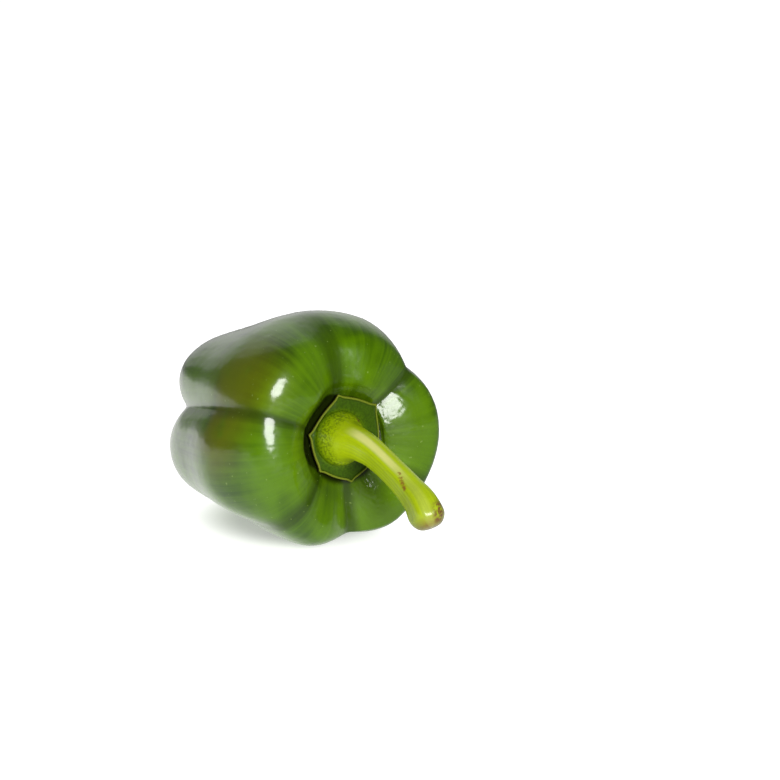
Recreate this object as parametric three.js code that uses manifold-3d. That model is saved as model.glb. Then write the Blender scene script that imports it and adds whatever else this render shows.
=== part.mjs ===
import * as THREE from 'three';
import { mergeVertices } from 'three/addons/utils/BufferGeometryUtils.js';
import Module from 'manifold-3d';

// A green bell pepper, as picked, lying on its side. It is two pieces: the fruit, which is one
// body, and the cut stalk with the calyx at its foot.
//
// Lengths are in millimetres, angles in degrees. +Z is up, and the stalk points towards -Y.
// Both pieces are drawn in the fruit's own frame: X to the right, Y up and Z out along its axis,
// with the middle of the seat under the calyx at the origin. The fruit is then laid down, with
// the stalk end a little raised.

// The fruit as a whole
const LEAN = 8.5; // the stalk end is raised by this much
const SEAT_RADIUS = 15; // the level floor that the calyx covers
const SEAT_LIP = 0.6; // the rise of that floor at its edge
const NAVEL = -66; // the middle of the blossom end
const NAVEL_RADIUS = 3; // the level spot there, under the dried flower's scar
const PRESSED = 0.5; // how deep the lobes are flattened where the fruit rests

// The lobes, anticlockwise from the right as the stalk end is seen. Shoulder, girth and tip are
// points of a lobe's highest line: a distance from the axis and a place along it. The wall is
// between the seat's edge and the shoulder, at these shares of the way out and of the way up,
// and the brow is so between shoulder and girth. Past the girth the line narrows to the lower
// radius before it turns in at the tip. The crest is where this line lies between two furrows.
const LOBES = [
  { crest: 0.52, wall: [0.5, 0.6], shoulder: [23, 5.5], brow: [0.66, 0.1],
    girth: [46.5, -15], lower: 33, tip: [25, -75.5] },
  { crest: 0.6, wall: [0.35, 0.45], shoulder: [24.5, 10.5], brow: [0.74, 0.14],
    girth: [48, -13.5], lower: 42, tip: [29, -81] },
  { crest: 0.5, wall: [0.35, 0.55], shoulder: [28.5, 10], brow: [0.62, 0.22],
    girth: [48.5, -15], lower: 40, tip: [29.5, -80] },
  { crest: 0.4, wall: [0.47, 0.65], shoulder: [33.5, 7.5], brow: [0.84, 0.32],
    girth: [41, -12], lower: 32.5, tip: [29, -80.5] },
  { crest: 0.64, wall: [0.47, 0.8], shoulder: [33.5, 3], brow: [0.64, 0.16],
    girth: [41.5, -18], lower: 33, tip: [23.5, -82.5] },
  { crest: 0.56, wall: [0.15, 0.4], shoulder: [29, 6], brow: [0.7, 0.1],
    girth: [43.5, -16], lower: 39.5, tip: [18.5, -84] },
];
const NAVEL_WALL = [0.45, 0.6]; // where the wall turns at the blossom end, as shares of tip and way in

// The furrow before each lobe: its angle round the axis, its depth at the shoulder, the waist
// and the tip, and how broad its floor is.
const FURROWS = [
  { at: 38, shoulder: 3, waist: 5.5, tip: 6.5, breadth: 0.85 },
  { at: 95, shoulder: 5.5, waist: 0, tip: 4.5, breadth: 1.25 },
  { at: 159, shoulder: 1, waist: 4.5, tip: 9, breadth: 0.8 },
  { at: 224, shoulder: 0, waist: 4, tip: 4.5, breadth: 1.05 },
  { at: 270, shoulder: 6, waist: 6.5, tip: 7, breadth: 1.1 },
  { at: 324, shoulder: 0.5, waist: 4.5, tip: 6, breadth: 1.1 },
];
const TIP_BREADTH = 0.85; // every furrow is this narrow near the blossom end
const FURROW_SOFTNESS = 0.06; // how round a furrow's floor is, as a share of the way to the crest
const BREADTH_CHANGE = [0.5, 0.73]; // the shares of the way between which it becomes so

// The calyx, a thin saucer with a corner over each furrow
const CALYX_GAP = 0.4; // between its underside and the middle of the seat
const CALYX_RISE = 1.2; // its edge stands this much higher than its middle
const CALYX_THICKNESS = 1.3;
const CALYX_SWELL = 0.7; // how far its sides bow out between the corners
const CALYX_CORNERS = [
  { at: 40, reach: 17.3 },
  { at: 97, reach: 16.6 },
  { at: 166, reach: 15.5 },
  { at: 219, reach: 15.4 },
  { at: 272, reach: 15.2 },
  { at: 331, reach: 14.6 },
];

// The stalk: the points that its middle line passes, and its radius at even steps along it
const STALK_PATH = [
  [-3.2, 0.5, 1.5],
  [-2.7, 0.3, 7],
  [-1.2, -0.9, 14],
  [0.6, -3.9, 21.2],
  [2.2, -9.4, 30.4],
  [3.6, -15.2, 38.7],
  [4.6, -20.4, 44.7],
  [5.5, -28.2, 48.5],
];
const STALK_RADII = [10.4, 9.2, 7.1, 6.1, 5.5, 5, 4.8, 4.9, 5.2, 5.8, 6.4, 6.4];
const STALK_RIDGES = 5; // soft ridges run along it
const RIDGE_HEIGHT = 0.05; // as a share of its radius
const END_ROUNDING = 2.6; // at the edge of the cut end

// How finely the pieces are divided
const STEPS_PER_LOBE = 12;
const FRUIT_STEPS = 52;
const CALYX_SIDES = 48;
const STALK_SIDES = 20;
const STALK_STEPS = 26;

const { degToRad, lerp, clamp, smoothstep, euclideanModulo } = THREE.MathUtils;

// A lathe's closed surface with each of its points moved. place gets the share of a full turn
// and the share of the way along the profile, from 0 to 1, and the point itself, and moves it.
function deformedLathe(profile, sides, place) {
  const lathe = new THREE.LatheGeometry(profile, sides);
  const { position, uv } = lathe.attributes;
  const point = new THREE.Vector3();
  for (let i = 0; i < position.count; i += 1) {
    point.fromBufferAttribute(position, i);
    place(uv.getX(i) % 1, uv.getY(i), point);
    position.setXYZ(i, point.x, point.y, point.z);
  }
  lathe.deleteAttribute('normal');
  lathe.deleteAttribute('uv');
  return mergeVertices(lathe, 1e-3);
}

// The controls of a lobe's highest line, from the middle of the seat to the middle of the
// blossom end: x is the distance from the axis, y the place along it.
function crestControls({ wall, shoulder, brow, girth, lower, tip }) {
  const lowerPlace = 0.8 * tip[1];
  return [
    [0, 0],
    [SEAT_RADIUS / 2, 0],
    [SEAT_RADIUS, SEAT_LIP],
    [lerp(SEAT_RADIUS, shoulder[0], wall[0]), lerp(SEAT_LIP, shoulder[1], wall[1])],
    shoulder,
    [lerp(shoulder[0], girth[0], brow[0]), lerp(shoulder[1], girth[1], brow[1])],
    girth,
    [(girth[0] + lower) / 2 + 0.9, (girth[1] + lowerPlace) / 2],
    [lower, lowerPlace],
    tip,
    [NAVEL_WALL[0] * tip[0], lerp(tip[1], NAVEL, NAVEL_WALL[1])],
    [NAVEL_RADIUS, NAVEL],
    [0, NAVEL],
  ];
}

// How far each control sinks in a furrow, away from the axis and along it, as a function of the
// furrow's depths.
const SINKS = [
  () => [0, 0],
  () => [0, 0],
  ({ shoulder }) => [0, -0.15 * shoulder],
  ({ shoulder }) => [0, -0.75 * shoulder],
  ({ shoulder }) => [0, -shoulder],
  ({ shoulder, waist }) => [-0.67 * shoulder - 0.07 * waist, -0.67 * shoulder - 0.07 * waist],
  ({ shoulder, waist }) => [-0.12 * shoulder - 0.88 * waist, 0],
  ({ waist }) => [-waist, 0],
  ({ waist, tip }) => [-0.48 * (waist + tip), 0.15 * (waist + tip)],
  ({ tip }) => [-0.35 * tip, 0.9 * tip],
  ({ tip }) => [0, 0.4 * tip],
  () => [0, 0],
  () => [0, 0],
];

function curveThrough(controls) {
  return new THREE.SplineCurve(controls.map(([x, y]) => new THREE.Vector2(x, y)));
}

const crests = LOBES.map((lobe) => curveThrough(crestControls(lobe)));

const furrows = FURROWS.map((furrow, i) => {
  const before = crestControls(LOBES.at(i - 1));
  const after = crestControls(LOBES[i]);
  const controls = SINKS.map((sink, k) => {
    const [away, along] = sink(furrow);
    return [(before[k][0] + after[k][0]) / 2 + away, (before[k][1] + after[k][1]) / 2 + along];
  });
  return curveThrough(controls);
});

// The climb from a furrow's floor with a round start, so that the floor isn't a crease
function softened(climb) {
  const start = Math.hypot(climb, FURROW_SOFTNESS) - FURROW_SOFTNESS;
  return start / (Math.hypot(1, FURROW_SOFTNESS) - FURROW_SOFTNESS);
}

// A point of the fruit's skin, by its share of the turn and of the way up from the blossom end.
// Each lobe takes an equal share of the turn, and swells from the furrow on either side to its
// crest.
function placeOnFruit(turn, up, point) {
  const along = 1 - up;
  const lobe = Math.floor(turn * LOBES.length);
  const next = (lobe + 1) % LOBES.length;
  const across = turn * LOBES.length - lobe;
  const start = FURROWS[lobe].at;
  const span = euclideanModulo(FURROWS[next].at - start, 360);
  const { crest } = LOBES[lobe];
  const side = across < crest ? lobe : next;
  const climb = across < crest ? across / crest : (1 - across) / (1 - crest);
  const nearTip = smoothstep(along, ...BREADTH_CHANGE);
  const breadth = lerp(FURROWS[side].breadth, TIP_BREADTH, nearTip);
  const swell = Math.sin((Math.PI / 2) * softened(climb) ** breadth);
  const skin = furrows[side].getPoint(along).lerp(crests[lobe].getPoint(along), swell);
  const angle = degToRad(start + across * span);
  point.set(skin.x * Math.cos(angle), skin.x * Math.sin(angle), skin.y);
}

// The fruit's own frame, laid down
const laid = new THREE.Matrix4().makeRotationX(Math.PI / 2 - degToRad(LEAN));

// The lathe is a ball drawn from its lowest point, the blossom end, to its highest, the seat. It
// only gives the number of steps, since every point of it is placed anew.
function makeFruit() {
  const profile = Array.from({ length: FRUIT_STEPS + 1 }, (_, i) => {
    const angle = (Math.PI * i) / FRUIT_STEPS;
    return new THREE.Vector2(Math.sin(angle), -Math.cos(angle));
  });
  const sides = LOBES.length * STEPS_PER_LOBE;
  return deformedLathe(profile, sides, placeOnFruit).applyMatrix4(laid);
}

// The distance of the calyx's edge from its middle. The sides run straight from corner to
// corner, bowed out a little.
function calyxReach(angle) {
  const count = CALYX_CORNERS.length;
  const corner = CALYX_CORNERS.findIndex(({ at }, i) => {
    const span = euclideanModulo(CALYX_CORNERS[(i + 1) % count].at - at, 360);
    return euclideanModulo(angle - at, 360) < span;
  });
  const a = CALYX_CORNERS[corner];
  const b = CALYX_CORNERS[(corner + 1) % count];
  const span = degToRad(euclideanModulo(b.at - a.at, 360));
  const past = degToRad(euclideanModulo(angle - a.at, 360));
  const straight = (a.reach * b.reach * Math.sin(span))
    / (a.reach * Math.sin(past) + b.reach * Math.sin(span - past));
  return straight + CALYX_SWELL * Math.sin((Math.PI * past) / span);
}

// The calyx as a lathe of radius 1 at its edge, stretched out to its corners
function makeCalyx() {
  const edge = CALYX_GAP + CALYX_RISE;
  const top = edge + CALYX_THICKNESS;
  const profile = [
    [0, CALYX_GAP],
    [0.55, CALYX_GAP],
    [0.97, edge],
    [1, (edge + top) / 2],
    [0.96, top],
    [0.86, top - 0.4],
    [0.62, top + 0.6],
    [0, top + 1.4],
  ];
  const points = profile.map(([share, height]) => new THREE.Vector2(share, height));
  return deformedLathe(points, CALYX_SIDES, (turn, along, point) => {
    const radius = Math.hypot(point.x, point.z) * calyxReach(360 * turn);
    const angle = 2 * Math.PI * turn;
    point.set(radius * Math.cos(angle), radius * Math.sin(angle), point.y);
  });
}

// The stalk: a lathe of radius and way along the stalk, bent to its path
function makeStalk() {
  const path = new THREE.CatmullRomCurve3(STALK_PATH.map((p) => new THREE.Vector3(...p)));
  const length = path.getLength();
  const radii = new THREE.SplineCurve(STALK_RADII.map((r, i) => new THREE.Vector2(i, r)));
  const rounding = END_ROUNDING / length;
  const profile = [new THREE.Vector2(0, 0)];
  for (let i = 0; i <= STALK_STEPS; i += 1) {
    const way = i / STALK_STEPS;
    const past = clamp((way - 1 + rounding) / rounding, 0, 1);
    const radius = radii.getPoint(way).y - END_ROUNDING * (1 - Math.sqrt(1 - past * past));
    profile.push(new THREE.Vector2(radius, way));
  }
  profile.push(new THREE.Vector2(0, 1));
  const right = new THREE.Vector3(1, 0, 0);
  return deformedLathe(profile, STALK_SIDES, (turn, along, point) => {
    const way = point.y;
    const angle = 2 * Math.PI * turn;
    const ridge = 1 + RIDGE_HEIGHT * Math.cos(STALK_RIDGES * angle);
    const radius = Math.hypot(point.x, point.z) * ridge;
    const ahead = path.getTangentAt(way);
    const up = new THREE.Vector3().crossVectors(ahead, right).normalize();
    const across = new THREE.Vector3().crossVectors(up, ahead);
    point.copy(path.getPointAt(way))
      .addScaledVector(across, radius * Math.cos(angle))
      .addScaledVector(up, radius * Math.sin(angle));
  });
}

const wasm = await Module();
wasm.setup();

function joined(first, second) {
  const [a, b] = [first, second].map((geometry) => new wasm.Manifold(new wasm.Mesh({
    numProp: 3,
    vertProperties: geometry.attributes.position.array,
    triVerts: new Uint32Array(geometry.index.array),
  })));
  const mesh = a.add(b).getMesh();
  const geometry = new THREE.BufferGeometry();
  geometry.setAttribute('position', new THREE.BufferAttribute(mesh.vertProperties, 3));
  geometry.setIndex(new THREE.BufferAttribute(mesh.triVerts, 1));
  return geometry;
}

const fruit = makeFruit();
const stalk = joined(makeCalyx(), makeStalk()).applyMatrix4(laid);

// Down to the surface: the lobes that the fruit rests on are pressed flat, at the height 0.
fruit.computeBoundingBox();
const drop = fruit.boundingBox.min.z + PRESSED;
stalk.translate(0, 0, -drop);
fruit.translate(0, 0, -drop);
const skin = fruit.attributes.position;
for (let i = 0; i < skin.count; i += 1) {
  skin.setZ(i, Math.max(skin.getZ(i), 0));
}

function piece(name, geometry, colour, roughness) {
  geometry.computeVertexNormals();
  const material = new THREE.MeshStandardMaterial({ color: colour, roughness, metalness: 0 });
  const mesh = new THREE.Mesh(geometry, material);
  mesh.name = name;
  return mesh;
}

const pepper = new THREE.Group();
pepper.add(piece('pod', fruit, 0x4b7208, 0.18));
pepper.add(piece('stem', stalk, 0x93ab16, 0.42));

// The origin is under the middle of the whole object.
const middle = new THREE.Box3().setFromObject(pepper).getCenter(new THREE.Vector3());
pepper.position.set(-middle.x, -middle.y, 0);

export default pepper;
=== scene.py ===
# %% [markdown]
# A green bell pepper lying on its side
#
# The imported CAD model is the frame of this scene: it says where the fruit lies, how big it is and
# where its stalk points. Its two solids are plain and faceted, so both are replaced here by
# smooth pieces of the same form. Everything is in metres, +Z is up and the stalk points to -Y.

# %% Load the frame
import math

import bpy
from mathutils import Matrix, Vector


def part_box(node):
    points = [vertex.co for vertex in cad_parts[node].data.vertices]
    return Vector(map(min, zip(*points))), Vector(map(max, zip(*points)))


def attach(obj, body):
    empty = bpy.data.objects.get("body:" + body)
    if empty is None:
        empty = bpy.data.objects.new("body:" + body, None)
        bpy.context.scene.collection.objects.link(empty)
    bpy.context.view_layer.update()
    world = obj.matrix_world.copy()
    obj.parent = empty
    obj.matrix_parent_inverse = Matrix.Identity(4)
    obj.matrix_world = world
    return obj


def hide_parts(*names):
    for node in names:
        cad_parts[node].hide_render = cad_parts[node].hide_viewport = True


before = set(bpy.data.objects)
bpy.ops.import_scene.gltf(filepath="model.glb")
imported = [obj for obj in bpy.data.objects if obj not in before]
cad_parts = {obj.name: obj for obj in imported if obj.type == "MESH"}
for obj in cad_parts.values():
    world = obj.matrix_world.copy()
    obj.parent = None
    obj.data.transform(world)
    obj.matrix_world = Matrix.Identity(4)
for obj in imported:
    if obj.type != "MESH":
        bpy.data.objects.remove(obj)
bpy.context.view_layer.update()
MM = 0.001

print("nodes:", sorted(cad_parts))

# %% [markdown]
# The camera comes first, because every later look at the pepper is judged from it. The photograph
# was taken with a long lens from the front left, a little above the fruit. A long lens far away
# keeps the near stalk and the far blossom end at nearly the same scale. The camera is turned with
# `to_track_quat`, which points its -Z axis along a direction and keeps its Y axis up.

# %% The camera
CAMERA_AZIMUTH = math.radians(-31.06)
CAMERA_ELEVATION = math.radians(13.67)
CAMERA_DISTANCE = 0.85
CAMERA_LENS = 105
AIM = Vector((0.0310, 0.0012, 0.0514))


def direction(azimuth, elevation):
    """The way from the pepper to something seen at this azimuth and elevation."""
    level = math.cos(elevation)
    return Vector((math.sin(azimuth) * level, -math.cos(azimuth) * level, math.sin(elevation)))


def new_object(name, data):
    made = bpy.data.objects.new(name, data)
    bpy.context.scene.collection.objects.link(made)
    return made


def point_at(thing, place, target):
    thing.location = place
    thing.rotation_euler = (target - place).to_track_quat("-Z", "Y").to_euler()


camera = new_object("camera", bpy.data.cameras.new("camera"))
camera.data.lens = CAMERA_LENS
camera.data.clip_end = 20
point_at(camera, AIM + CAMERA_DISTANCE * direction(CAMERA_AZIMUTH, CAMERA_ELEVATION), AIM)
bpy.context.scene.camera = camera
print("camera at", [round(c, 3) for c in camera.location])

# %% [markdown]
# Both pieces are made with Geometry Nodes, and the materials are node trees too. A tree is easier
# to read as a formula than as a list of links, so these helpers add one node and return its
# output. Sockets that a node hides for its present data type are skipped, so that the values can
# be given in the order in which the node shows them.


# %% Words for building node trees
def shown(sockets):
    return [socket for socket in sockets if socket.enabled]


def add(tree, kind, *values, **settings):
    """Adds a node with these settings and fills or links its inputs in order."""
    made = tree.nodes.new(kind)
    for name, value in settings.items():
        setattr(made, name, value)
    for socket, value in zip(shown(made.inputs), values):
        if isinstance(value, bpy.types.NodeSocket):
            tree.links.new(value, socket)
        elif value is not None:
            socket.default_value = value
    return made


def out(tree, kind, *values, **settings):
    """The first output of a new node."""
    return shown(add(tree, kind, *values, **settings).outputs)[0]


def calc(tree, operation, *values):
    return out(tree, "ShaderNodeMath", *values, operation=operation)


def vector_calc(tree, operation, *values):
    return out(tree, "ShaderNodeVectorMath", *values, operation=operation)


def scaled(tree, vector, factor):
    made = add(tree, "ShaderNodeVectorMath", operation="SCALE")
    tree.links.new(vector, made.inputs["Vector"])
    if isinstance(factor, bpy.types.NodeSocket):
        tree.links.new(factor, made.inputs["Scale"])
    else:
        made.inputs["Scale"].default_value = factor
    return made.outputs["Vector"]


def mixed(tree, share, low, high, kind="FLOAT"):
    return out(tree, "ShaderNodeMix", share, low, high, data_type=kind)


def ramped(tree, value, start, end, low=0.0, high=1.0, shape="SMOOTHSTEP"):
    """Goes from low to high while the value goes from start to end."""
    return out(tree, "ShaderNodeMapRange", value, start, end, low, high, interpolation_type=shape)


def combined(tree, x, y, z):
    return out(tree, "ShaderNodeCombineXYZ", x, y, z)


def attribute_field(tree, name, kind="FLOAT"):
    return out(tree, "GeometryNodeInputNamedAttribute", name, data_type=kind)


def sampled(tree, geometry, field, index, kind="FLOAT"):
    """The field's value at one point of the geometry."""
    return out(tree, "GeometryNodeSampleIndex", geometry, field, index, data_type=kind)


def stored(tree, geometry, name, field, kind="FLOAT"):
    """The geometry with the field kept on its points, where a material can read it."""
    return out(tree, "GeometryNodeStoreNamedAttribute", geometry, None, name, field,
               data_type=kind, domain="POINT")


print("helpers ready")

# %% [markdown]
# A geometry tree has named inputs, like the knobs of a machine. `new_tree` makes the group and its
# inputs. `grown` puts the tree on a plan, sets the inputs by their identifiers before anything is
# evaluated, and turns the result into a plain mesh, so that no modifier is left on the piece.


# %% Making a tree and growing a piece with it
SOCKETS = {int: "NodeSocketInt", float: "NodeSocketFloat", Vector: "NodeSocketVector"}


def new_tree(name, knobs):
    """A geometry tree that takes a plan, a material and these knobs."""
    tree = bpy.data.node_groups.new(name, "GeometryNodeTree")
    tree.interface.new_socket("Plan", in_out="INPUT", socket_type="NodeSocketGeometry")
    for knob, value in knobs.items():
        tree.interface.new_socket(knob, in_out="INPUT", socket_type=SOCKETS[type(value)])
    tree.interface.new_socket("Material", in_out="INPUT", socket_type="NodeSocketMaterial")
    tree.interface.new_socket("Geometry", in_out="OUTPUT", socket_type="NodeSocketGeometry")
    entry = tree.nodes.new("NodeGroupInput")
    return tree, {socket.name: socket for socket in entry.outputs if socket.name}


def finish_tree(tree, geometry, material):
    """Ends the tree with smooth shading, real instances and the material."""
    smooth = out(tree, "GeometryNodeSetShadeSmooth", geometry)
    real = out(tree, "GeometryNodeRealizeInstances", smooth)
    dressed = add(tree, "GeometryNodeSetMaterial", real)
    tree.links.new(material, dressed.inputs["Material"])
    tree.links.new(dressed.outputs[0], tree.nodes.new("NodeGroupOutput").inputs[0])


def grown(name, plan, tree, knobs, material=None):
    """The plain mesh object that the tree makes of the plan."""
    carrier = new_object(name + "_plan", plan)
    modifier = carrier.modifiers.new(name, "NODES")
    modifier.node_group = tree
    identifiers = {item.name: item.identifier for item in tree.interface.items_tree}
    for knob, value in {**knobs, "Material": material}.items():
        modifier[identifiers[knob]] = value
    evaluated = carrier.evaluated_get(bpy.context.evaluated_depsgraph_get())
    mesh = bpy.data.meshes.new_from_object(evaluated)
    bpy.data.objects.remove(carrier)
    mesh.name = name
    return new_object(name, mesh)


def box_of(piece):
    corners = [Vector(corner) for corner in piece.bound_box]
    low = Vector(min(corner[k] for corner in corners) for k in range(3))
    high = Vector(max(corner[k] for corner in corners) for k in range(3))
    return low, high


def in_mm(vector):
    return [round(1000 * side, 2) for side in vector]


print("trees ready")

# %% [markdown]
# The fruit grew as one body with six lobes, and a lobe is high along its middle and sinks into a
# furrow at both sides. So its form follows a rule: six lines drawn along the tops of the lobes,
# six more along the furrows, and a swelling curve that leads round the fruit from each furrow to
# the next top. The plan is those twelve lines as chains of a few points, with the distance from
# the axis as x and the place along the axis as z. They are the dimensions of the CAD part, so the
# smooth skin keeps the form that was packed. A sculpted mesh could look as good, but nobody could
# change the length of one lobe afterwards.

# %% The plan of the fruit
SEAT_RADIUS = 15
SEAT_LIP = 0.6
NAVEL = -66
NAVEL_RADIUS = 3
NAVEL_WALL = (0.45, 0.6)

LOBES = [
    dict(crest=0.52, wall=(0.5, 0.6), shoulder=(23, 5.5), brow=(0.66, 0.1),
         girth=(46.5, -15), lower=33, tip=(25, -75.5)),
    dict(crest=0.6, wall=(0.35, 0.45), shoulder=(24.5, 10.5), brow=(0.74, 0.14),
         girth=(48, -13.5), lower=42, tip=(29, -81)),
    dict(crest=0.5, wall=(0.35, 0.55), shoulder=(28.5, 10), brow=(0.62, 0.22),
         girth=(48.5, -15), lower=40, tip=(29.5, -80)),
    dict(crest=0.4, wall=(0.47, 0.65), shoulder=(33.5, 7.5), brow=(0.84, 0.32),
         girth=(41, -12), lower=32.5, tip=(29, -80.5)),
    dict(crest=0.64, wall=(0.47, 0.8), shoulder=(33.5, 3), brow=(0.64, 0.16),
         girth=(41.5, -18), lower=33, tip=(23.5, -82.5)),
    dict(crest=0.56, wall=(0.15, 0.4), shoulder=(29, 6), brow=(0.7, 0.1),
         girth=(43.5, -16), lower=39.5, tip=(18.5, -84)),
]

FURROWS = [
    dict(at=38, shoulder=3, waist=5.5, tip=6.5, breadth=0.85),
    dict(at=95, shoulder=5.5, waist=0, tip=4.5, breadth=1.25),
    dict(at=159, shoulder=1, waist=4.5, tip=9, breadth=0.8),
    dict(at=224, shoulder=0, waist=4, tip=4.5, breadth=1.05),
    dict(at=270, shoulder=6, waist=6.5, tip=7, breadth=1.1),
    dict(at=324, shoulder=0.5, waist=4.5, tip=6, breadth=1.1),
]


def lerp(low, high, share):
    return low + (high - low) * share


def between(start, end, shares):
    """A point between two others, by its shares of the way out and of the way along."""
    return lerp(start[0], end[0], shares[0]), lerp(start[1], end[1], shares[1])


def crest_line(crest, wall, shoulder, brow, girth, lower, tip):
    """The points of a lobe's highest line, from the middle of the seat to the blossom end."""
    lower_place = 0.8 * tip[1]
    return [
        (0, 0),
        (SEAT_RADIUS / 2, 0),
        (SEAT_RADIUS, SEAT_LIP),
        between((SEAT_RADIUS, SEAT_LIP), shoulder, wall),
        shoulder,
        between(shoulder, girth, brow),
        girth,
        ((girth[0] + lower) / 2 + 0.9, (girth[1] + lower_place) / 2),
        (lower, lower_place),
        tip,
        (NAVEL_WALL[0] * tip[0], lerp(tip[1], NAVEL, NAVEL_WALL[1])),
        (NAVEL_RADIUS, NAVEL),
        (0, NAVEL),
    ]


def furrow_sinks(at, shoulder, waist, tip, breadth):
    """How far each of those points sinks in a furrow: outwards and along the axis."""
    flank = 0.67 * shoulder + 0.07 * waist
    return [
        (0, 0),
        (0, 0),
        (0, -0.15 * shoulder),
        (0, -0.75 * shoulder),
        (0, -shoulder),
        (-flank, -flank),
        (-0.12 * shoulder - 0.88 * waist, 0),
        (-waist, 0),
        (-0.48 * (waist + tip), 0.15 * (waist + tip)),
        (-0.35 * tip, 0.9 * tip),
        (0, 0.4 * tip),
        (0, 0),
        (0, 0),
    ]


crest_lines = [crest_line(**lobe) for lobe in LOBES]
furrow_lines = []
for number, furrow in enumerate(FURROWS):
    sides = zip(crest_lines[number - 1], crest_lines[number], furrow_sinks(**furrow))
    furrow_lines.append([
        ((before[0] + after[0]) / 2 + sink[0], (before[1] + after[1]) / 2 + sink[1])
        for before, after, sink in sides
    ])
LINE_POINTS = len(crest_lines[0])
print(len(crest_lines), "crests and", len(furrow_lines), "furrows of", LINE_POINTS, "points")

# %% [markdown]
# The lines become one mesh of twelve chains. Each point also carries its lobe's own numbers as
# attributes: the angle where the lobe starts, how wide it is, where its crest lies and how broad
# its furrow is. Attributes travel through the nodes with the points, so the tree needs no table.


# %% The plan as a mesh
def chain_mesh(name, chains, attributes):
    """A mesh of open chains of points, with a value for each point in every attribute."""
    points = [Vector(point) for chain in chains for point in chain]
    edges = []
    first = 0
    for chain in chains:
        edges += [(first + k, first + k + 1) for k in range(len(chain) - 1)]
        first += len(chain)
    mesh = bpy.data.meshes.new(name)
    mesh.from_pydata(points, edges, [])
    for key, values in attributes.items():
        kind = "FLOAT_VECTOR" if isinstance(values[0], Vector) else "FLOAT"
        field = "vector" if kind == "FLOAT_VECTOR" else "value"
        layer = mesh.attributes.new(key, kind, "POINT")
        for item, value in zip(layer.data, values):
            setattr(item, field, value)
    return mesh


def per_point(values):
    """One value for each line, repeated for its points."""
    return [value for value in values for _ in range(LINE_POINTS)]


starts = [math.radians(furrow["at"]) for furrow in FURROWS]
spans = [(starts[(i + 1) % len(starts)] - starts[i]) % math.tau for i in range(len(starts))]
fruit_plan = chain_mesh(
    "fruit_plan",
    [[(MM * r, 0, MM * z) for r, z in line] for line in crest_lines + furrow_lines],
    {
        "start": per_point(starts * 2),
        "span": per_point(spans * 2),
        "crest": per_point([lobe["crest"] for lobe in LOBES] * 2),
        "breadth": per_point([furrow["breadth"] for furrow in FURROWS] * 2),
    },
)
print(len(fruit_plan.vertices), "points in the plan")

# %% [markdown]
# The tree turns the chains into smooth Catmull-Rom curves, which pass through their points, and
# into rows of evaluated points. A UV sphere with as many rings as the curves have rows gives a
# closed skin without a seam, and every point of it is placed anew: its ring says how far along the
# curves it is, and its place in the ring says which lobe it belongs to. The sphere's points are
# numbered ring by ring from its top, so both come from the index by a division and a remainder.

# %% The tree that grows the skin: where each point belongs
LEAN = math.radians(8.5)
TIP_BREADTH = 0.85
FURROW_SOFTNESS = 0.06
BREADTH_CHANGE = (0.5, 0.73)
FRUIT_KNOBS = {
    "Steps between points": 16,
    "Steps per lobe": 48,
    "Lean": LEAN,
    "Tip breadth": TIP_BREADTH,
    "Furrow softness": FURROW_SOFTNESS,
    "Unevenness": 0.5 * MM,
    "Place": Vector((0, 0, 0)),
    "Floor": -1.0,
}
fruit_tree, knob = new_tree("pepper skin", FRUIT_KNOBS)
tree = fruit_tree

curves = out(tree, "GeometryNodeMeshToCurve", knob["Plan"])
curves = out(tree, "GeometryNodeCurveSplineType", curves, spline_type="CATMULL_ROM")
curves = add(tree, "GeometryNodeSetSplineResolution", curves)
tree.links.new(knob["Steps between points"], curves.inputs["Resolution"])
rows_of_points = out(tree, "GeometryNodeCurveToPoints", curves.outputs[0], mode="EVALUATED")

rings = calc(tree, "MULTIPLY", knob["Steps between points"], LINE_POINTS - 1)
rows = calc(tree, "ADD", rings, 1)
columns = calc(tree, "MULTIPLY", knob["Steps per lobe"], len(LOBES))
ball = add(tree, "GeometryNodeMeshUVSphere", columns, rings)

past_top = calc(tree, "SUBTRACT", out(tree, "GeometryNodeInputIndex"), 1)
row = calc(tree, "ADD", calc(tree, "FLOOR", calc(tree, "DIVIDE", past_top, columns)), 1)
column = calc(tree, "FLOORED_MODULO", past_top, columns)
along = calc(tree, "DIVIDE", row, rings)
turn = calc(tree, "DIVIDE", column, knob["Steps per lobe"])
lobe = calc(tree, "FLOOR", turn)
across = calc(tree, "SUBTRACT", turn, lobe)
print("knobs:", list(FRUIT_KNOBS))

# %% [markdown]
# Now each point reads two places from the curves, the crest of its lobe and the nearer furrow, and
# lies between them. The climb from furrow to crest is a quarter of a sine wave, so the lobe is
# round on top. Its exponent makes the furrow's floor broad or sharp.


# %% The tree that grows the skin: the lobes
def on_line(line, field, kind="FLOAT"):
    """The field's value on one of the curves, in this point's row."""
    index = calc(tree, "ADD", calc(tree, "MULTIPLY", line, rows), row)
    return sampled(tree, rows_of_points, field, index, kind)


crest = on_line(lobe, attribute_field(tree, "crest"))
start = on_line(lobe, attribute_field(tree, "start"))
span = on_line(lobe, attribute_field(tree, "span"))

past_crest = calc(tree, "GREATER_THAN", across, crest)
side = calc(tree, "FLOORED_MODULO", calc(tree, "ADD", lobe, past_crest), len(LOBES))
climb_before = calc(tree, "DIVIDE", across, crest)
still_to_go = calc(tree, "SUBTRACT", 1.0, across)
way_down = calc(tree, "SUBTRACT", 1.0, crest)
climb_after = calc(tree, "DIVIDE", still_to_go, way_down)
climb = mixed(tree, past_crest, climb_before, climb_after)


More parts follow.
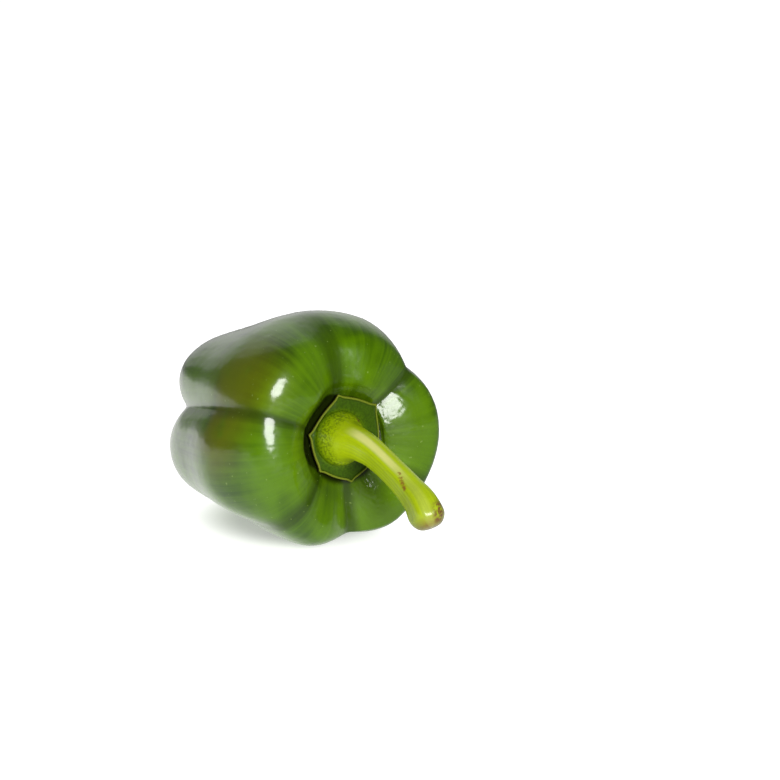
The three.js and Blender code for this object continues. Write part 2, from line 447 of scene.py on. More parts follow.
def softened(climb):
    """The climb with a round start, so that a furrow's floor isn't a crease."""
    soft = knob["Furrow softness"]
    squared = calc(tree, "MULTIPLY", soft, soft)
    start_of_curve = calc(tree, "SQRT", calc(tree, "MULTIPLY_ADD", climb, climb, squared))
    end_of_curve = calc(tree, "SQRT", calc(tree, "ADD", 1.0, squared))
    return calc(
        tree, "DIVIDE",
        calc(tree, "SUBTRACT", start_of_curve, soft),
        calc(tree, "SUBTRACT", end_of_curve, soft),
    )


furrow_line = calc(tree, "ADD", side, len(LOBES))
near_tip = ramped(tree, along, *BREADTH_CHANGE)
own_breadth = on_line(furrow_line, attribute_field(tree, "breadth"))
breadth = mixed(tree, near_tip, own_breadth, knob["Tip breadth"])
climbed = calc(tree, "POWER", softened(climb), breadth)
swell = calc(tree, "SINE", calc(tree, "MULTIPLY", climbed, math.pi / 2))

position = out(tree, "GeometryNodeInputPosition")
low_place = on_line(furrow_line, position, "FLOAT_VECTOR")
high_place = on_line(lobe, position, "FLOAT_VECTOR")
profile = add(tree, "ShaderNodeSeparateXYZ", mixed(tree, swell, low_place, high_place, "VECTOR"))
angle = calc(tree, "ADD", start, calc(tree, "MULTIPLY", across, span))
east = calc(tree, "COSINE", angle)
north = calc(tree, "SINE", angle)
placed = combined(
    tree,
    calc(tree, "MULTIPLY", profile.outputs["X"], east),
    calc(tree, "MULTIPLY", profile.outputs["X"], north),
    profile.outputs["Z"],
)
skin = out(tree, "GeometryNodeSetPosition", ball.outputs["Mesh"], None, placed)
skin = stored(tree, skin, "swell", swell)
skin = stored(tree, skin, "along", along)
skin = stored(tree, skin, "around", combined(tree, east, north, along), "FLOAT_VECTOR")
print("lobes placed")

# %% [markdown]
# A real pepper isn't as even as the formula, because its whole skin is a little dented. A soft
# noise pushes the points inwards along the normal, never outwards, so the skin can't grow past
# the CAD solid's box. At last the fruit is laid on its side, moved to its place, and pressed flat
# where it touches the floor.

# %% The tree that grows the skin: dents and lying down
DENT_SCALE = 26.0
DENT_DETAIL = 1.5

local = out(tree, "GeometryNodeInputPosition")
dents = out(tree, "ShaderNodeTexNoise", local, None, DENT_SCALE, DENT_DETAIL, noise_dimensions="3D")
dent = calc(tree, "MULTIPLY", dents, knob["Unevenness"])
normal = out(tree, "GeometryNodeInputNormal")
inwards = scaled(tree, normal, calc(tree, "MULTIPLY", dent, -1.0))
skin = out(tree, "GeometryNodeSetPosition", skin, None, None, inwards)

rotation = combined(tree, calc(tree, "SUBTRACT", math.pi / 2, knob["Lean"]), 0.0, 0.0)
laid = add(tree, "GeometryNodeTransform", skin)
tree.links.new(rotation, laid.inputs["Rotation"])
tree.links.new(knob["Place"], laid.inputs["Translation"])
lying = add(tree, "ShaderNodeSeparateXYZ", out(tree, "GeometryNodeInputPosition"))
pressed = combined(
    tree,
    lying.outputs["X"],
    lying.outputs["Y"],
    calc(tree, "MAXIMUM", lying.outputs["Z"], knob["Floor"]),
)
skin = out(tree, "GeometryNodeSetPosition", laid.outputs[0], None, pressed)
finish_tree(tree, skin, knob["Material"])
print(len(tree.nodes), "nodes in the tree")

# %% [markdown]
# Where does the skin go? The tree draws the fruit round its own axis, so it is grown once without
# dents, only to measure it. Its box is then the CAD solid's box, apart from the facets and from
# the underside, which is cut off at the floor. So the middles of the two boxes say how far to move
# it sideways and lengthways, and their tops say how high it lies.

# %% The place of the fruit in the frame
probe = grown("probe", fruit_plan, fruit_tree, {**FRUIT_KNOBS, "Unevenness": 0.0})
own_low, own_high = box_of(probe)
bpy.data.objects.remove(probe)
node_low, node_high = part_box("pod")
fruit_place = (node_low + node_high) / 2 - (own_low + own_high) / 2
fruit_place.z = node_high.z - own_high.z
print("own size:", in_mm(own_high - own_low), "place:", in_mm(fruit_place))

# %% [markdown]
# The stalk and the calyx are one piece. The calyx is a thin plate with a corner over each furrow,
# a narrow raised rim, and a soft mound, off its middle, from which the stalk grows. The piece is
# lofted: rings are strung on a line of stations that runs from the cut end down the stalk, out
# over the mound and the plate, round the rim and back underneath. A station has its own centre,
# the way it faces, a round radius, a share of the calyx's outline, and a tone from 0 under the
# plate to 7 on the cut end, which the material later reads.

# %% The plan of the stalk and calyx
STALK_PATH = [
    (-3.2, 0.5, 1.5),
    (-2.7, 0.3, 7),
    (-1.2, -0.9, 14),
    (0.6, -3.9, 21.2),
    (2.2, -9.4, 30.4),
    (3.6, -15.2, 38.7),
    (4.6, -20.4, 44.7),
    (5.5, -28.2, 48.5),
]
STALK_RADII = [10.4, 9.2, 7.1, 6.1, 5.5, 5, 4.8, 4.9, 5.2, 5.8, 6.4, 6.4]
CALYX_SWELL = 0.7
CALYX_CORNERS = [(40, 17.3), (97, 16.6), (166, 15.5), (219, 15.4), (272, 15.2), (331, 14.6)]
CORNER_POINT = 0.5
CORNER_POINT_WIDTH = 4.0
UPRIGHT = Vector((0, 0, 1))


def spline_at(points, share):
    """A place on the smooth curve through evenly spaced points or numbers."""
    place = share * (len(points) - 1)
    first = min(int(place), len(points) - 2)
    t = place - first
    a, b, c, d = (points[min(max(first + k, 0), len(points) - 1)] for k in (-1, 0, 1, 2))
    straight = b * 2 + (c - a) * t
    squared = (a * 2 - b * 5 + c * 4 - d) * t ** 2
    cubed = (b * 3 - a - c * 3 + d) * t ** 3
    return (straight + squared + cubed) / 2


stalk_path = [Vector(point) for point in STALK_PATH]


def stalk_centre(way):
    return spline_at(stalk_path, way)


def stalk_ahead(way):
    return (stalk_centre(min(way + 0.02, 1)) - stalk_centre(max(way - 0.02, 0))).normalized()


def station(centre, ahead, radius=0.0, share=0.0, ridge=0.0, tone=0.0):
    """A ring of the loft: round by its radius, and cornered by its share of the outline."""
    return dict(
        centre=Vector(centre), ahead=ahead, radius=radius, share=share, ridge=ridge, tone=tone,
    )


def end_station(radius, back, tone):
    """A ring on the cut end, a little back from where the stalk was cut."""
    ahead = stalk_ahead(1)
    return station(stalk_centre(1) - back * ahead, ahead, radius, 0, 0.4, tone)


cut_end = [end_station(*values) for values in (
    (0, 0.0, 7), (1.5, 0.05, 7), (2.8, 0.25, 7), (3.9, 0.7, 6.8),
    (4.9, 1.5, 6.6), (5.8, 2.8, 6.4), (6.3, 4.2, 6.2),
)]
STALK_STATIONS = 20
STALK_WAYS = (0.9, 0.17)
STALK_TONES = (6, 3.3)
RIDGES_START = 0.1
RIDGES_GROW = 2.5
stalk = []
for step in range(STALK_STATIONS):
    share = step / (STALK_STATIONS - 1)
    way = lerp(*STALK_WAYS, share)
    stalk.append(station(
        stalk_centre(way), stalk_ahead(way), spline_at(STALK_RADII, way),
        ridge=min(1, RIDGES_GROW * (way - RIDGES_START)), tone=lerp(*STALK_TONES, share),
    ))
foot_ahead = stalk_ahead(0.16)
mound = [
    station((-2.65, 0.35, 6.9), lerp(UPRIGHT, foot_ahead, 0.6), 8.0, ridge=0.1, tone=3.1),
    station((-2.8, 0.6, 5.7), lerp(UPRIGHT, foot_ahead, 0.2), 8.8, tone=2.9),
    station((-2.9, 0.8, 4.7), UPRIGHT, 9.4, tone=2.7),
    station((-2.9, 0.95, 3.8), UPRIGHT, 9.9, tone=2.5),
    station((-2.85, 1.0, 3.1), UPRIGHT, 10.2, tone=2.3),
]
plate = [
    station((-1.6, 0.5, 2.62), UPRIGHT, 5.6, 0.42, tone=2.1),
    station((-0.3, 0, 2.45), UPRIGHT, 0.8, 0.86, tone=2.0),
    station((0, 0, 2.55), UPRIGHT, 0, 0.935, tone=1.8),
    station((0, 0, 2.95), UPRIGHT, 0, 0.955, tone=1.0),
    station((0, 0, 3.02), UPRIGHT, 0, 0.975, tone=1.0),
    station((0, 0, 2.8), UPRIGHT, 0, 0.995, tone=0.9),
    station((0, 0, 2.3), UPRIGHT, 0, 1.0, tone=0.5),
    station((0, 0, 1.75), UPRIGHT, 0, 0.975, tone=0),
    station((0, 0, 1.1), UPRIGHT, 0, 0.78),
    station((0, 0, 0.5), UPRIGHT, 0, 0.45),
    station((0, 0, 0.4), UPRIGHT, 0, 0.0),
]
stations = cut_end + stalk + mound + plate
print(len(stations), "stations from the cut end to the middle of the calyx's underside")

# %% [markdown]
# The outline of the calyx runs straight from corner to corner, bowed out a little, with a small
# point at each corner where the dried sepal ended. It is drawn as loose points of the same plan,
# one for each column of the loft, and the tree reads the outline from them.


# %% The calyx's outline
STALK_COLUMNS = 240


def calyx_reach(angle):
    """The distance of the calyx's edge from its middle, in mm, at an angle in degrees."""
    count = len(CALYX_CORNERS)
    for number, (at, reach) in enumerate(CALYX_CORNERS):
        next_at, next_reach = CALYX_CORNERS[(number + 1) % count]
        if (angle - at) % 360 < (next_at - at) % 360:
            span = math.radians((next_at - at) % 360)
            past = math.radians((angle - at) % 360)
            across = reach * math.sin(past) + next_reach * math.sin(span - past)
            straight = reach * next_reach * math.sin(span) / across
            bow = CALYX_SWELL * math.sin(math.pi * past / span)
            nearest = math.degrees(min(past, span - past))
            point = CORNER_POINT * math.exp(-((nearest / CORNER_POINT_WIDTH) ** 2))
            return straight + bow + point
    raise ValueError("the corners leave a gap")


outline = []
for column in range(STALK_COLUMNS):
    angle = math.tau * column / STALK_COLUMNS
    reach = MM * calyx_reach(math.degrees(angle))
    outline.append(Vector((reach * math.cos(angle), reach * math.sin(angle), 0)))
lengths = [MM * item["radius"] for item in stations]
padding = [0.0] * len(outline)
stalk_plan = chain_mesh(
    "stalk_plan",
    [[MM * item["centre"] for item in stations]] + [[point] for point in outline],
    {
        "ahead": [item["ahead"] for item in stations] + [UPRIGHT] * len(outline),
        "radius_here": lengths + padding,
        "share": [item["share"] for item in stations] + padding,
        "ridge": [item["ridge"] for item in stations] + padding,
        "tone": [item["tone"] for item in stations] + padding,
    },
)
print("calyx reach in mm:", [round(calyx_reach(at), 1) for at, _ in CALYX_CORNERS])

# %% [markdown]
# The tree is the skin's tree again in a simpler form: the stations become one smooth curve, a
# sphere gives the rings, and each ring is turned to face the way its station faces. Five soft
# ridges and many fine fibres run along the stalk, as waves of the radius.

# %% The tree that lofts the stalk and calyx
STALK_KNOBS = {
    "Steps between stations": 5,
    "Columns": STALK_COLUMNS,
    "Stations": len(stations),
    "Lean": LEAN,
    "Ridges": 5.0,
    "Ridge height": 0.05,
    "Fibres": 34.0,
    "Fibre height": 0.003,
    "Place": Vector((0, 0, 0)),
}
stalk_tree, knob = new_tree("pepper stalk", STALK_KNOBS)
tree = stalk_tree

curve = out(tree, "GeometryNodeMeshToCurve", knob["Plan"])
curve = out(tree, "GeometryNodeCurveSplineType", curve, spline_type="CATMULL_ROM")
curve = add(tree, "GeometryNodeSetSplineResolution", curve)
tree.links.new(knob["Steps between stations"], curve.inputs["Resolution"])
station_points = out(tree, "GeometryNodeCurveToPoints", curve.outputs[0], mode="EVALUATED")

spans_of_line = calc(tree, "SUBTRACT", knob["Stations"], 1)
rings = calc(tree, "MULTIPLY", knob["Steps between stations"], spans_of_line)
ball = add(tree, "GeometryNodeMeshUVSphere", knob["Columns"], rings)
past_top = calc(tree, "SUBTRACT", out(tree, "GeometryNodeInputIndex"), 1)
row = calc(tree, "ADD", calc(tree, "FLOOR", calc(tree, "DIVIDE", past_top, knob["Columns"])), 1)
column = calc(tree, "FLOORED_MODULO", past_top, knob["Columns"])
angle = calc(tree, "MULTIPLY", calc(tree, "DIVIDE", column, knob["Columns"]), math.tau)
east = calc(tree, "COSINE", angle)
north = calc(tree, "SINE", angle)


def here(name, kind="FLOAT"):
    """The value of a station's attribute in this point's row."""
    return sampled(tree, station_points, attribute_field(tree, name, kind), row, kind)


position = out(tree, "GeometryNodeInputPosition")
outline_point = calc(tree, "ADD", knob["Stations"], column)
outline_place = sampled(tree, knob["Plan"], position, outline_point, "FLOAT_VECTOR")
reach = vector_calc(tree, "LENGTH", outline_place)


def wave_round(count, height):
    """A wave of the radius with this many crests round the stalk."""
    wave = calc(tree, "COSINE", calc(tree, "MULTIPLY", angle, count))
    return calc(tree, "MULTIPLY", wave, height)


ridge = wave_round(knob["Ridges"], knob["Ridge height"])
fibre = wave_round(knob["Fibres"], knob["Fibre height"])
relief = calc(tree, "MULTIPLY", calc(tree, "ADD", ridge, fibre), here("ridge"))
round_part = calc(tree, "MULTIPLY", here("radius_here"), calc(tree, "ADD", relief, 1.0))
distance = calc(tree, "MULTIPLY_ADD", here("share"), reach, round_part)

ahead = vector_calc(tree, "NORMALIZE", here("ahead", "FLOAT_VECTOR"))
up = vector_calc(tree, "NORMALIZE", vector_calc(tree, "CROSS_PRODUCT", ahead, (1.0, 0.0, 0.0)))
across = vector_calc(tree, "CROSS_PRODUCT", up, ahead)
centre = sampled(tree, station_points, position, row, "FLOAT_VECTOR")
spoke = vector_calc(tree, "ADD", scaled(tree, across, east), scaled(tree, up, north))
placed = vector_calc(tree, "ADD", centre, scaled(tree, spoke, distance))

loft = out(tree, "GeometryNodeSetPosition", ball.outputs["Mesh"], None, placed)
loft = stored(tree, loft, "tone", here("tone"))
along = calc(tree, "DIVIDE", row, rings)
loft = stored(tree, loft, "around", combined(tree, east, north, along), "FLOAT_VECTOR")
rotation = combined(tree, calc(tree, "SUBTRACT", math.pi / 2, knob["Lean"]), 0.0, 0.0)
laid = add(tree, "GeometryNodeTransform", loft)
tree.links.new(rotation, laid.inputs["Rotation"])
tree.links.new(knob["Place"], laid.inputs["Translation"])
finish_tree(tree, laid.outputs[0], knob["Material"])
print(len(tree.nodes), "nodes in the tree")

# %% [markdown]
# Colours are written as they look in a photograph, from 0 to 255, and `paint` turns them into the
# linear values that shaders take. A shader tree is built with the same helpers as the geometry
# trees. Both finishes need the same three effects: cloudy patches of colour, fine streaks that
# follow the growth, and a tiny unevenness that breaks up reflections. Each is a node group with
# named inputs, made once here.


# %% Paint and the shared effects
def paint(red, green, blue):
    def linear(value):
        share = value / 255
        return share / 12.92 if share <= 0.04045 else ((share + 0.055) / 1.055) ** 2.4
    return linear(red), linear(green), linear(blue), 1.0


def effect_group(name, inputs, outputs):
    """An empty shader group with these sockets, and the sockets inside it by name."""
    group = bpy.data.node_groups.new(name, "ShaderNodeTree")
    for label, value in inputs.items():
        kind = "NodeSocketVector" if value is None else "NodeSocketFloat"
        socket = group.interface.new_socket(label, in_out="INPUT", socket_type=kind)
        if value is not None:
            socket.default_value = value
    for label, kind in outputs.items():
        group.interface.new_socket(label, in_out="OUTPUT", socket_type=kind)
    entry = group.nodes.new("NodeGroupInput")
    leave = group.nodes.new("NodeGroupOutput")
    return group, entry.outputs, leave.inputs


cloud_group, given, result = effect_group(
    "cloudy patches",
    {"Place": None, "Size": 20.0, "Detail": 3.0, "From": 0.4, "To": 0.6},
    {"Mask": "NodeSocketFloat"},
)
clouds = out(cloud_group, "ShaderNodeTexNoise", given["Place"], given["Size"], given["Detail"])
mask = ramped(cloud_group, clouds, given["From"], given["To"])
cloud_group.links.new(mask, result["Mask"])

streak_group, given, result = effect_group(
    "growth streaks",
    {"Around": None, "Fineness": 40.0, "Length": 1.5},
    {"Mask": "NodeSocketFloat"},
)
parts = add(streak_group, "ShaderNodeSeparateXYZ", given["Around"])
stretched = combined(
    streak_group,
    calc(streak_group, "MULTIPLY", parts.outputs["X"], given["Fineness"]),
    calc(streak_group, "MULTIPLY", parts.outputs["Y"], given["Fineness"]),
    calc(streak_group, "MULTIPLY", parts.outputs["Z"], given["Length"]),
)
streaks = out(streak_group, "ShaderNodeTexNoise", stretched, 1.0, 3.0)
streak_group.links.new(ramped(streak_group, streaks, 0.3, 0.7), result["Mask"])

dimple_group, given, result = effect_group(
    "fine unevenness",
    {"Place": None, "Broad": 180.0, "Fine": 900.0, "Fine share": 0.3},
    {"Height": "NodeSocketFloat"},
)
broad = out(dimple_group, "ShaderNodeTexNoise", given["Place"], given["Broad"], 1.0)
fine = out(dimple_group, "ShaderNodeTexNoise", given["Place"], given["Fine"], 2.0)
height = calc(dimple_group, "MULTIPLY_ADD", fine, given["Fine share"], broad)
dimple_group.links.new(height, result["Height"])
print("effects:", [group.name for group in (cloud_group, streak_group, dimple_group)])

# %% [markdown]
# A material starts with one Principled BSDF. Its fixed values, such as IOR, are set on its own
# sockets, and only what changes over the surface is linked.


# %% Starting a material
def new_material(name, **constants):
    """A material with a Principled BSDF that has these fixed values."""
    material = bpy.data.materials.new(name)
    material.use_nodes = True
    tree = material.node_tree
    shader = tree.nodes["Principled BSDF"]
    for label, value in constants.items():
        shader.inputs[label.replace("_", " ")].default_value = value
    return material, tree, shader


def grouped(tree, group, place, **values):
    """One use of an effect at a place on the piece, with its own values."""
    made = tree.nodes.new("ShaderNodeGroup")
    made.node_tree = group
    tree.links.new(place, made.inputs[0])
    for label, value in values.items():
        made.inputs[label.replace("_", " ")].default_value = value
    return made.outputs[0]


def read_attribute(tree, name):
    node = tree.nodes.new("ShaderNodeAttribute")
    node.attribute_name = name
    return node


def object_place(tree):
    return tree.nodes.new("ShaderNodeTexCoord").outputs["Object"]


def tinted(tree, base, mask, colour, strength=1.0):
    """The base colour with another laid over it, where the mask is high."""
    share = calc(tree, "MULTIPLY", mask, strength)
    return out(tree, "ShaderNodeMix", share, base, colour, data_type="RGBA")


def both(tree, one, other):
    """A mask that is high only where two masks are."""
    return calc(tree, "MULTIPLY", one, other)


def towards(tree, around, turn):
    """How far a point lies towards an angle round the axis, from -1 to 1."""
    return vector_calc(tree, "DOT_PRODUCT", around, (math.cos(turn), math.sin(turn), 0.0))


def roughened(tree, shader, height, strength, depth):
    bump = tree.nodes.new("ShaderNodeBump")
    bump.inputs["Strength"].default_value = strength
    bump.inputs["Distance"].default_value = depth
    tree.links.new(height, bump.inputs["Height"])
    tree.links.new(bump.outputs["Normal"], shader.inputs["Normal"])


def spot(tree, place, middle, radius, softness=0.5):
    """A mask that is 1 round a point of the piece, fading out at the radius."""
    away = vector_calc(tree, "DISTANCE", place, middle)
    return ramped(tree, away, radius * softness, radius, 1.0, 0.0)


print("material helpers ready")

# %% [markdown]
# The skin of a green pepper isn't one green. It is darker in soft clouds, streaked along its
# growth, yellower near the calyx and olive where it has begun to ripen on the left flank. Each of
# these is a mask and a colour, laid over the last one like a glaze. Two glazes are painted light
# and shade: painted shade makes the skin a little darker low down, and painted light makes the
# lobe below the calyx, which lies in shade, a brighter green. The masks read the place on the
# piece, or an attribute that the tree stored: `along` runs from 0 in the middle of the seat to 1 at
# the blossom end, and `swell` from 0 in a furrow to 1 on a crest.

# %% The pepper's skin: its greens
DEEP_GREEN = paint(84, 124, 1)
DARK_CLOUD = paint(52, 86, 1)
YELLOW_GREEN = paint(102, 136, 1)
RIPENING = paint(108, 112, 5)
PALE_STREAK = paint(104, 146, 3)
LIT_GREEN = paint(112, 156, 1)
NEAR_CALYX = (0.22, 0.42)
PAINTED_SHADE_LOW = (0.012, 0.05)
RIPE_SPOTS = [((-0.034, -0.003, 0.064), 0.026), ((-0.042, 0.001, 0.045), 0.022)]
LIT_GREEN_SPOT = (0.0115, -0.016, 0.02)
LIT_GREEN_RADIUS = 0.024

pepper_skin, tree, shader = new_material(
    "pepper_skin", Roughness=0.3, IOR=1.5, Specular_IOR_Level=0.1,
    Coat_Roughness=0.14, Coat_IOR=1.5,
)
place = object_place(tree)
around = read_attribute(tree, "around").outputs["Vector"]
along = read_attribute(tree, "along").outputs["Fac"]
swell = read_attribute(tree, "swell").outputs["Fac"]

clouds = grouped(tree, cloud_group, place, Size=38.0, From=0.42, To=0.62)
colour = tinted(tree, DEEP_GREEN, clouds, DARK_CLOUD)
streaks = grouped(tree, streak_group, around, Fineness=26.0, Length=3.0)
colour = tinted(tree, colour, streaks, PALE_STREAK, 0.35)
near_calyx = ramped(tree, along, *NEAR_CALYX, 1.0, 0.0)
colour = tinted(tree, colour, near_calyx, YELLOW_GREEN, 0.65)
rays = grouped(tree, streak_group, around, Fineness=13.0, Length=0.5)
colour = tinted(tree, colour, both(tree, rays, near_calyx), DARK_CLOUD, 0.6)
# Painted shade: the skin is painted a little darker low down, where less light falls on it.
above_floor = add(tree, "ShaderNodeSeparateXYZ", place).outputs["Z"]
colour = tinted(tree, colour, ramped(tree, above_floor, *PAINTED_SHADE_LOW, 0.15, 0.0), DARK_CLOUD)
turning = grouped(tree, cloud_group, place, Size=60.0, From=0.22, To=0.5)
for middle, radius in RIPE_SPOTS:
    patch = both(tree, spot(tree, place, middle, radius, 0.2), turning)
    colour = tinted(tree, colour, patch, RIPENING, 0.75)
# Painted light: the lobe below the calyx lies in shade, so it is painted a brighter green.
lit_green_patch = spot(tree, place, LIT_GREEN_SPOT, LIT_GREEN_RADIUS, 0.3)
colour = tinted(tree, colour, lit_green_patch, LIT_GREEN, 0.8)
print("skin nodes so far:", len(tree.nodes))

# %% [markdown]
# The skin looks darker in the furrows and where the lobes turn in towards the calyx, since less
# light gets there. The lights of the scene give only a part of that, and painted shade gives the
# rest. The darkest painted shade lies in the narrow gap beside the calyx, on the side that
# `GAP_TURN` points to: there the dark paint reaches further out. A brown scar marks the blossom
# end, and tiny pale specks are scattered over the skin.

# %% The pepper's skin: shaded places and specks
FURROW_SHADE = paint(34, 54, 2)
HOLLOW_SHADE = paint(26, 36, 3)
SCAR = paint(96, 78, 34)
SPECK = paint(150, 176, 90)
TURNING_IN = (0.2, 0.3)
FURROW_FLANK = (0.0, 0.34)
FURROW_FADES = (0.36, 0.6)
GAP_TURN = math.radians(150)
GAP_SIDE = (0.4, 0.85)
HOLLOW_REACH = (0.19, 0.255)
HOLLOW_EDGE = 40.0
SCAR_START = (0.93, 0.97)

colour = tinted(tree, colour, ramped(tree, along, *TURNING_IN, 0.5, 0.0), FURROW_SHADE)
in_furrow = ramped(tree, swell, *FURROW_FLANK, 1.0, 0.0)
near_front = ramped(tree, along, *FURROW_FADES, 1.0, 0.25)
colour = tinted(tree, colour, both(tree, in_furrow, near_front), FURROW_SHADE, 0.7)
# Painted shade: the darkest paint, in the narrow gap beside the calyx.
gap_side = ramped(tree, towards(tree, around, GAP_TURN), *GAP_SIDE, *HOLLOW_REACH)
inside_edge = calc(tree, "MULTIPLY", calc(tree, "SUBTRACT", gap_side, along), HOLLOW_EDGE)
colour = tinted(tree, colour, ramped(tree, inside_edge, 0.0, 1.0), HOLLOW_SHADE)
colour = tinted(tree, colour, ramped(tree, along, *SCAR_START), SCAR)
specks = grouped(tree, cloud_group, place, Size=900.0, Detail=0.0, From=0.81, To=0.85)
colour = tinted(tree, colour, specks, SPECK, 0.45)
tree.links.new(colour, shader.inputs["Base Color"])
print("skin nodes so far:", len(tree.nodes))

# %% [markdown]
# A thin clear wax makes the pepper shine. It is the shader's coat, over a base that hardly shines
# by itself, so the amount of wax can change from place to place while the colour stays. It is
# dull in a patch on the upper right lobe, where the photograph shows no bright spot, and a touch
# thinner in a small patch on the right lobe's shoulder.

# %% The pepper's skin: its wax
WAX = 0.75
DULL_SPOTS = [((0.0072, -0.0137, 0.068), 0.017, 0.03), ((0.0245, -0.0145, 0.0515), 0.012, 0.72)]

wax = WAX
for middle, radius, wax_there in DULL_SPOTS:
    wax = mixed(tree, spot(tree, place, middle, radius, 0.4), wax, wax_there)
tree.links.new(wax, shader.inputs["Coat Weight"])
roughened(tree, shader, grouped(tree, dimple_group, place), 0.06, 0.0003)
print("skin nodes:", len(tree.nodes))

# %% [markdown]
# The stalk is drier than the fruit: yellow-green and fibrous, dark green on the plate of the
# calyx, pale along its rim and corky on the cut. The tone of the stations says where on the piece
# a point is, so one colour ramp paints all of it. The wax is thin on the plate and full on the
# stalk.

# %% The stalk's colours along its length
TONE_COLOURS = [
    (0.0, paint(48, 66, 10)),
    (0.7, paint(66, 52, 20)),
    (0.95, paint(118, 130, 34)),
    (1.3, paint(74, 96, 10)),
    (1.8, paint(52, 78, 3)),
    (2.15, paint(62, 92, 3)),
    (2.5, paint(102, 132, 2)),
    (2.9, paint(150, 178, 3)),
    (3.6, paint(192, 216, 4)),
    (5.4, paint(186, 212, 8)),
    (6.2, paint(172, 192, 10)),
    (6.7, paint(136, 110, 40)),
    (7.0, paint(150, 126, 66)),
]
LAST_TONE = 7
WAX_TONES = (2.2, 3.4)

stalk_fibre, tree, shader = new_material(
    "stalk_fibre", Roughness=0.5, IOR=1.45, Specular_IOR_Level=0.1, Coat_Roughness=0.24,
)
place = object_place(tree)
around = read_attribute(tree, "around").outputs["Vector"]
tone = read_attribute(tree, "tone").outputs["Fac"]
ramp = tree.nodes.new("ShaderNodeValToRGB")
tree.links.new(calc(tree, "DIVIDE", tone, LAST_TONE), ramp.inputs["Fac"])
stops = ramp.color_ramp.elements
while len(stops) < len(TONE_COLOURS):
    stops.new(0.5)
for stop, (at, shade) in zip(stops, TONE_COLOURS):
    stop.position = at / LAST_TONE
    stop.color = shade
colour = ramp.outputs["Color"]
tree.links.new(ramped(tree, tone, *WAX_TONES, 0.1, 1.0), shader.inputs["Coat Weight"])
print("tones:", len(stops))

# %% [markdown]
# The rest makes the stalk look grown and handled, and paints on its shine. Darker fibres run along
# it, and a painted highlight, a pale streak of sheen, runs down its upper left side. Small brown
# scars lie in a row beside that streak, a rusty blotch sits on the end, a small rusty mark on the
# calyx, and the mound is speckled with dark green.

# %% The stalk's fibres, painted sheen, scars and speckles
FIBRE_SHADE = paint(140, 166, 6)
SPECKLE = paint(46, 68, 3)
PAINTED_SHEEN = paint(246, 246, 150)
PAINTED_SHEEN_TURN = math.radians(117)
BARK = paint(150, 112, 34)
RUST = paint(118, 82, 40)
BLEMISHES = [
    ((0.0026, -0.0520, 0.0360), 0.0011, BARK),
    ((0.0022, -0.0540, 0.0346), 0.0016, BARK),
    ((0.0019, -0.0556, 0.0334), 0.0013, BARK),
    ((0.0016, -0.0571, 0.0321), 0.0015, BARK),
    ((0.0063, -0.0174, 0.0472), 0.0016, RUST),
    ((0.0100, -0.0684, 0.0262), 0.0048, RUST),
    ((0.0085, -0.0690, 0.0238), 0.0030, RUST),
]

fibres = grouped(tree, streak_group, around, Fineness=9.0, Length=2.0)
colour = tinted(tree, colour, both(tree, fibres, ramped(tree, tone, 3.2, 4.0)), FIBRE_SHADE, 0.5)
# A painted highlight: a pale streak of sheen down the stalk's upper left side.
sheen_stripe = ramped(tree, towards(tree, around, PAINTED_SHEEN_TURN), 0.92, 1.0)
sheen_stripe = both(tree, sheen_stripe, ramped(tree, tone, 3.4, 3.9))
sheen_stripe = both(tree, sheen_stripe, ramped(tree, tone, 4.6, 5.4, 1.0, 0.15))
colour = tinted(tree, colour, sheen_stripe, PAINTED_SHEEN, 0.85)
broken = grouped(tree, cloud_group, place, Size=700.0, From=0.36, To=0.56)
for middle, radius, shade in BLEMISHES:
    mark = both(tree, spot(tree, place, middle, radius, 0.3), broken)
    colour = tinted(tree, colour, mark, shade)
speckles = grouped(tree, cloud_group, place, Size=1300.0, Detail=2.0, From=0.42, To=0.62)
on_mound = both(tree, ramped(tree, tone, 1.6, 2.0), ramped(tree, tone, 3.0, 3.5, 1.0, 0.0))
colour = tinted(tree, colour, both(tree, speckles, on_mound), SPECKLE, 0.55)
tree.links.new(colour, shader.inputs["Base Color"])
roughened(tree, shader, grouped(tree, dimple_group, place, Broad=500.0, Fine=2000.0), 0.4, 0.0003)
print("stalk nodes:", len(tree.nodes))

# %% [markdown]
# Now both pieces are grown for good.


# %% The fruit and the stalk
def finished(piece, node):
    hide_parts(node)
    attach(piece, "root")
    low, high = box_of(piece)
    print(piece.name, len(piece.data.polygons), "faces", in_mm(low), in_mm(high))


fruit = grown(
    "pepper_skin", fruit_plan, fruit_tree,
    {**FRUIT_KNOBS, "Place": fruit_place, "Floor": 0.0}, pepper_skin,
)
finished(fruit, "pod")
stalk_piece = grown(
    "stalk_and_calyx", stalk_plan, stalk_tree, {**STALK_KNOBS, "Place": fruit_place}, stalk_fibre,
)
finished(stalk_piece, "stem")

# %% [markdown]
# The floor is a wide pale disc. The photograph's background is pure white, so the camera sees the
# disc glow like lit paper, except in an oval close round the pepper, where the glow fades out: the
# soft contact shadow there is partly real and partly painted shadow. The pepper itself sees
# another glow, a bright patch of the sweep to its left and behind it, which the wax reflects down
# the left flank. The Light Path node tells the two kinds of ray apart.

# %% The floor
FLOOR_RADIUS = 7.0
FLOOR_SIDES = 96
SHADOW_MIDDLE = (0.0, 0.022, 0.0)
SHADOW_REACH = (0.044, 0.052, 1.0)
SHADOW_EDGE = (0.4, 0.95)
SHADOW_GLOW = 0.4
SWEEP_MIDDLE = (-0.35, 0.25, 0.0)
SWEEP_EDGE = (0.3, 0.6)
SWEEP_GLOW = 0.9
FAR_GLOW = 0.05

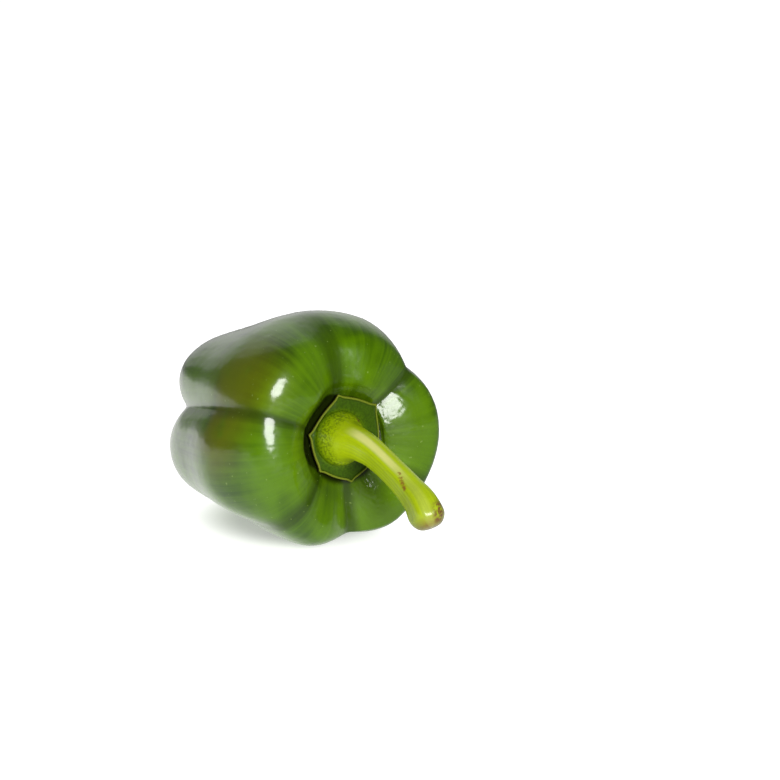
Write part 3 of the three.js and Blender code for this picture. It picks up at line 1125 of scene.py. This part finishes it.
floor_points = []
for number in range(FLOOR_SIDES):
    turn = math.tau * number / FLOOR_SIDES
    floor_points.append((FLOOR_RADIUS * math.cos(turn), FLOOR_RADIUS * math.sin(turn), 0))
floor_mesh = bpy.data.meshes.new("floor")
floor_mesh.from_pydata(floor_points, [], [tuple(range(FLOOR_SIDES))])
floor = new_object("floor", floor_mesh)
pale_floor, tree, shader = new_material(
    "pale_floor", Roughness=0.9, Specular_IOR_Level=0.0, Emission_Strength=1.0,
    Base_Color=(0.66, 0.66, 0.66, 1),
)
place = object_place(tree)
# Painted shadow: the glow that the camera sees fades out in an oval round the pepper's footprint.
from_middle = vector_calc(tree, "SUBTRACT", place, SHADOW_MIDDLE)
away = vector_calc(tree, "LENGTH", vector_calc(tree, "DIVIDE", from_middle, SHADOW_REACH))
paper_glow_and_shadow = ramped(tree, away, *SHADOW_EDGE, SHADOW_GLOW, 1.0)
from_sweep = vector_calc(tree, "DISTANCE", place, SWEEP_MIDDLE)
sweep_glow = ramped(tree, from_sweep, *SWEEP_EDGE, SWEEP_GLOW, FAR_GLOW)
seen = tree.nodes.new("ShaderNodeLightPath").outputs["Is Camera Ray"]
glow = mixed(tree, seen, sweep_glow, paper_glow_and_shadow)
tree.links.new(combined(tree, glow, glow, glow), shader.inputs["Emission Color"])
floor_mesh.materials.append(pale_floor)
print("floor", 2 * FLOOR_RADIUS, "m wide")

# %% [markdown]
# The wax shows the lights as shapes, so their places matter more than their strength. The main
# soft box stands in front of the stalk and makes the bright spots on the shoulders. A wide bright
# backdrop behind the pepper draws the pale bands along its top and left edge. It is four discs,
# one inside the other, so that its reflection fades out at the edge. The camera doesn't see the
# lights, but the wax does.


# %% The lights
LIGHTS_AIM = Vector((0, 0, 0.04))
BACKDROP_DISCS = [(1.1, 3.0), (1.6, 4.5), (2.1, 6.0), (2.8, 7.0)]
STUDIO_DIM = 0.1


def soft_box(name, azimuth, elevation, distance, width, height, watts):
    """An oval light at this azimuth and elevation, facing the pepper."""
    data = bpy.data.lights.new(name, "AREA")
    data.shape = "ELLIPSE"
    data.size = width
    data.size_y = height
    data.energy = watts
    light = new_object(name, data)
    away = direction(math.radians(azimuth), math.radians(elevation))
    point_at(light, LIGHTS_AIM + distance * away, LIGHTS_AIM)
    light.visible_camera = False
    return light


soft_box(
    "main_soft_box", azimuth=-10, elevation=17, distance=1.3, width=0.54, height=0.5, watts=15,
)
for number, (size, watts) in enumerate(BACKDROP_DISCS):
    soft_box(
        f"backdrop_{number}", azimuth=155, elevation=28, distance=1.8, width=size, height=size,
        watts=watts,
    )

world = bpy.data.worlds.new("studio")
bpy.context.scene.world = world
world.use_nodes = True
sky = world.node_tree
seen = sky.nodes.new("ShaderNodeLightPath").outputs["Is Camera Ray"]
brightness = mixed(sky, seen, STUDIO_DIM, 1.0)
sky.links.new(brightness, sky.nodes["Background"].inputs["Strength"])
sky.nodes["Background"].inputs["Color"].default_value = (1, 1, 1, 1)
bpy.context.scene.view_settings.view_transform = "Standard"
